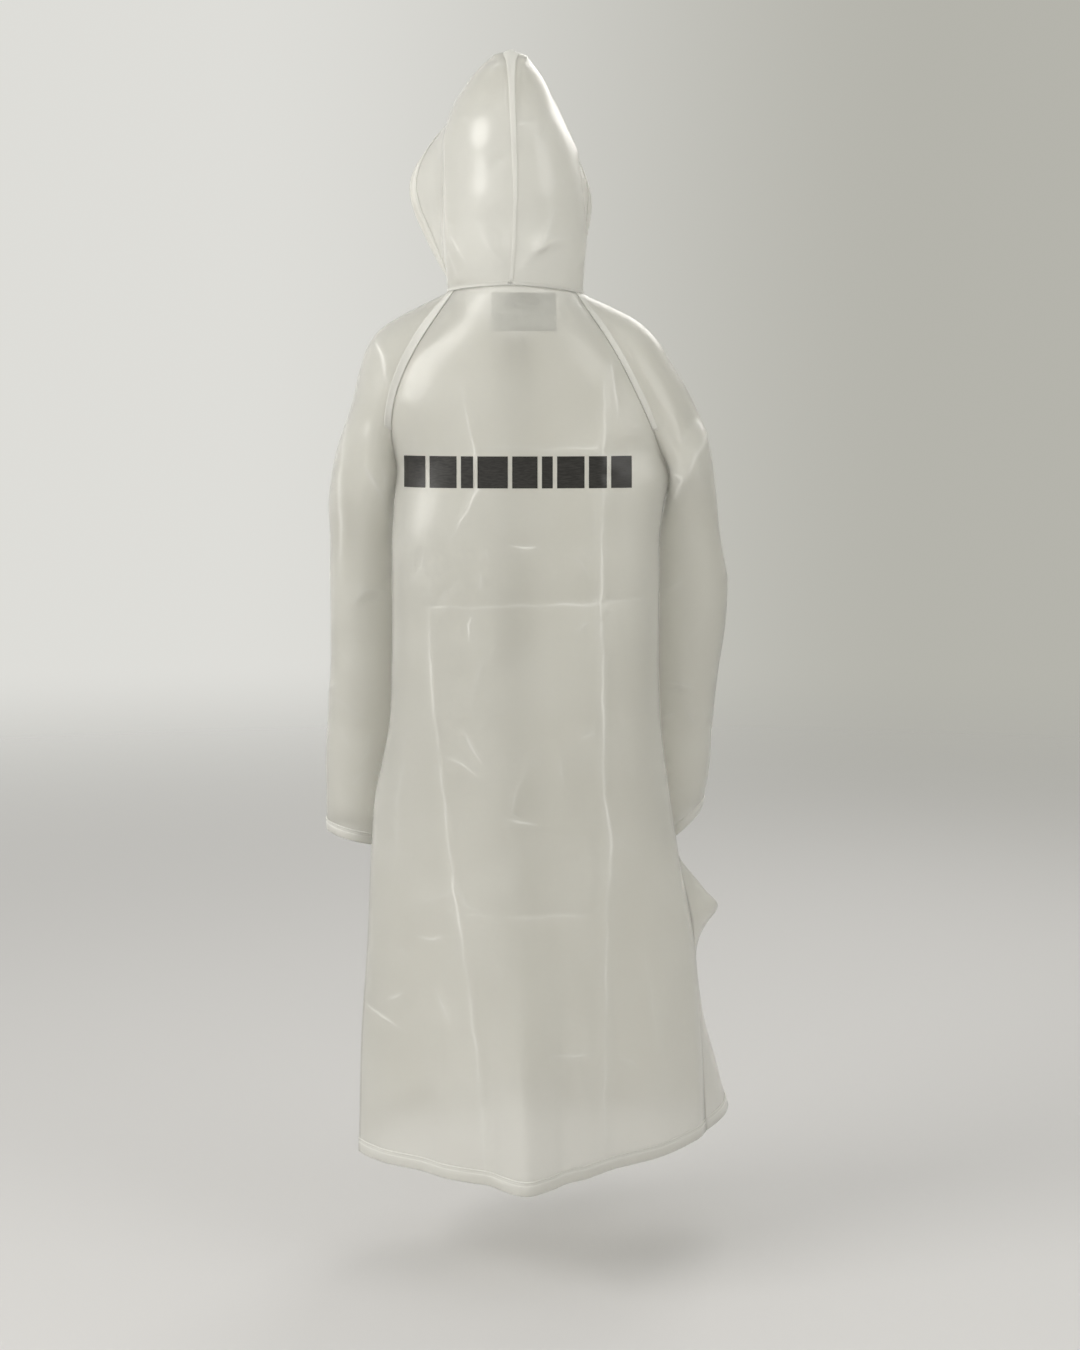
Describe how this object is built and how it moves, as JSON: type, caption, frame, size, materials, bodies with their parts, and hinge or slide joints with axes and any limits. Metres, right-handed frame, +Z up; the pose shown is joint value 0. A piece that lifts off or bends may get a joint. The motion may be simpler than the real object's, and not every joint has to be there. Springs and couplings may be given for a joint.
{
  "type": "raincoat",
  "caption": "Long hooded raincoat of frosted film with raglan sleeves, worn pose, hollow, open at hood, cuffs and hem.",
  "frame": {"origin": "base of the wearer's neck, level with the tops of the shoulders, in the middle between the sleeves", "axes": "+Z up, -Y is the coat's front, +X is the wearer's left"},
  "size_m": [0.609, 0.4775, 1.5928],
  "materials": {
    "film": "frosted translucent film",
    "welded_film": "doubled frosted film, heat welded",
    "label": "thin white label film",
    "snap": "smooth pressed plastic"
  },
  "bodies": {
    "root": {"back_panel": "film", "front_left": "film", "front_right": "film", "sleeve_left": "film", "sleeve_right": "film", "hood_left": "film", "hood_right": "film", "hem_back": "welded_film", "hem_front_left": "welded_film", "hem_front_right": "welded_film", "cuff_hem_left": "welded_film", "cuff_hem_right": "welded_film", "hood_hem_left": "welded_film", "hood_hem_right": "welded_film", "hood_centre_lap": "welded_film", "raglan_lap_back_left": "welded_film", "raglan_lap_back_right": "welded_film", "raglan_lap_front_left": "welded_film", "raglan_lap_front_right": "welded_film", "neck_label": "label", "snap_1": "snap", "snap_2": "snap", "snap_3": "snap", "snap_4": "snap", "snap_5": "snap"}
  },
  "joints": []
}
